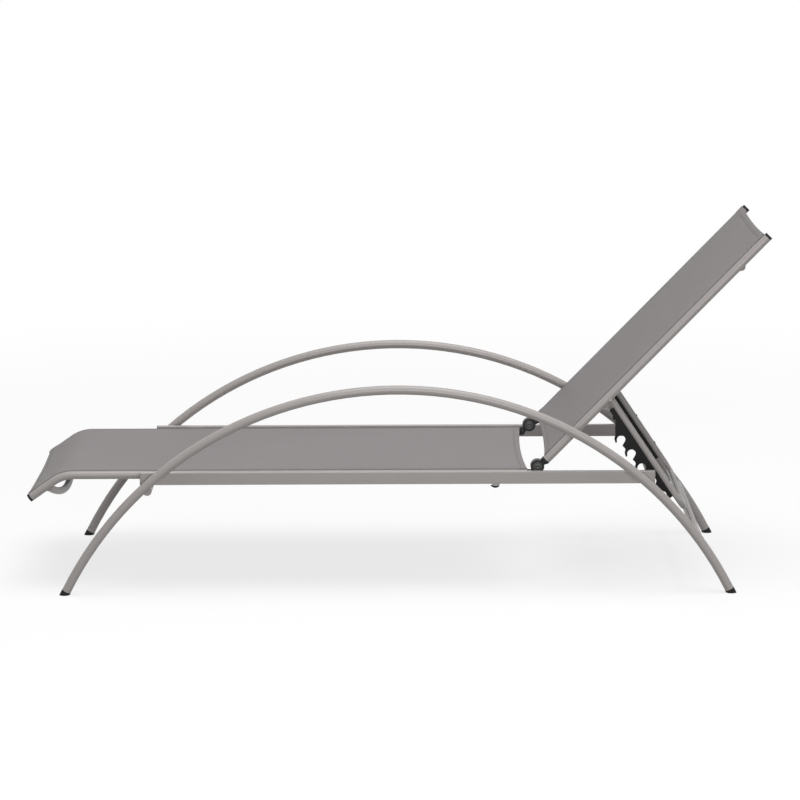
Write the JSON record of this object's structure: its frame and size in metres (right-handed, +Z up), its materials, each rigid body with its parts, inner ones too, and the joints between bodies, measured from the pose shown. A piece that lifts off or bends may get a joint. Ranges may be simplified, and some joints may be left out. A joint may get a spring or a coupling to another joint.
{
  "type": "sun lounger",
  "caption": "Sling sun lounger with arched tube legs that serve as armrests, a drooping foot end and a backrest that reclines on a notched prop.",
  "frame": {"origin": "on the floor, under the middle of the whole lounger as it stands in the picture", "axes": "+X from the foot end to the head end, +Y across, +Z up; the nodes named left are on the -Y side, which faces the camera"},
  "size_m": [1.794, 0.639, 0.8682],
  "materials": {
    "frame_paint": "warm light grey powder coat, semi-gloss",
    "sling": "woven coated mesh, warm grey, matt",
    "edge_cord": "extruded cord inside the hem",
    "foot_rubber": "moulded black rubber",
    "black_plastic": "moulded black plastic",
    "hinge_cover": "smooth dark cover over the bolt",
    "rack_plastic": "moulded black nylon",
    "fastener": "zinc-plated steel"
  },
  "bodies": {
    "base": {"arch_left": "frame_paint", "arch_right": "frame_paint", "foot_cap_front_left": "foot_rubber", "foot_cap_front_right": "foot_rubber", "foot_cap_rear_left": "foot_rubber", "foot_cap_rear_right": "foot_rubber", "side_rail_left": "frame_paint", "side_rail_right": "frame_paint", "side_rail_plugs_left": "frame_paint", "side_rail_plugs_right": "frame_paint", "front_crossbar": "frame_paint", "front_crossbar_plugs": "frame_paint", "hook_bar": "frame_paint", "rear_crossbar": "frame_paint", "seat_rail_left": "frame_paint", "seat_rail_right": "frame_paint", "seat_edge_cord_left": "edge_cord", "seat_edge_cord_right": "edge_cord", "seat_rail_cap_left": "black_plastic", "seat_rail_cap_right": "black_plastic", "rail_spacers_left": "frame_paint", "rail_spacers_right": "frame_paint", "seat_sling": "sling", "seat_foot_bow": "frame_paint", "seat_rear_bow": "frame_paint", "stacking_bumpers": "foot_rubber", "hinge_lower_left": "black_plastic", "hinge_lower_right": "black_plastic", "hinge_bolt_left": "hinge_cover", "hinge_bolt_right": "hinge_cover"},
    "backrest": {"back_rail_left": "frame_paint", "back_rail_right": "frame_paint", "back_edge_cord_left": "edge_cord", "back_edge_cord_right": "edge_cord", "back_rail_cap_left": "black_plastic", "back_rail_cap_right": "black_plastic", "back_sling": "sling", "back_top_bow": "frame_paint", "back_lower_bow": "frame_paint", "hinge_upper_left": "black_plastic", "hinge_upper_right": "black_plastic", "prop_bolt_left": "frame_paint", "prop_bolt_right": "frame_paint", "prop_bush_left": "black_plastic", "prop_bush_right": "black_plastic"},
    "prop": {"prop_frame": "frame_paint", "rack_plate_left": "rack_plastic", "rack_plate_right": "rack_plastic", "rack_screws": "fastener"}
  },
  "joints": [
    {"name": "back_recline", "type": "hinge", "parent": "base", "child": "backrest", "pos_m": [0.33935, 0, 0.3016], "axis": [0, 1, 0], "range_deg": [0, 45.84]},
    {"name": "prop_swing", "type": "hinge", "parent": "backrest", "child": "prop", "pos_m": [0.51443, 0, 0.46611], "axis": [0, 1, 0], "range_deg": [-97, 0]}
  ],
  "couplings": [
    {"joint": "prop_swing", "follows": "back_recline", "ratio": -2.1}
  ]
}
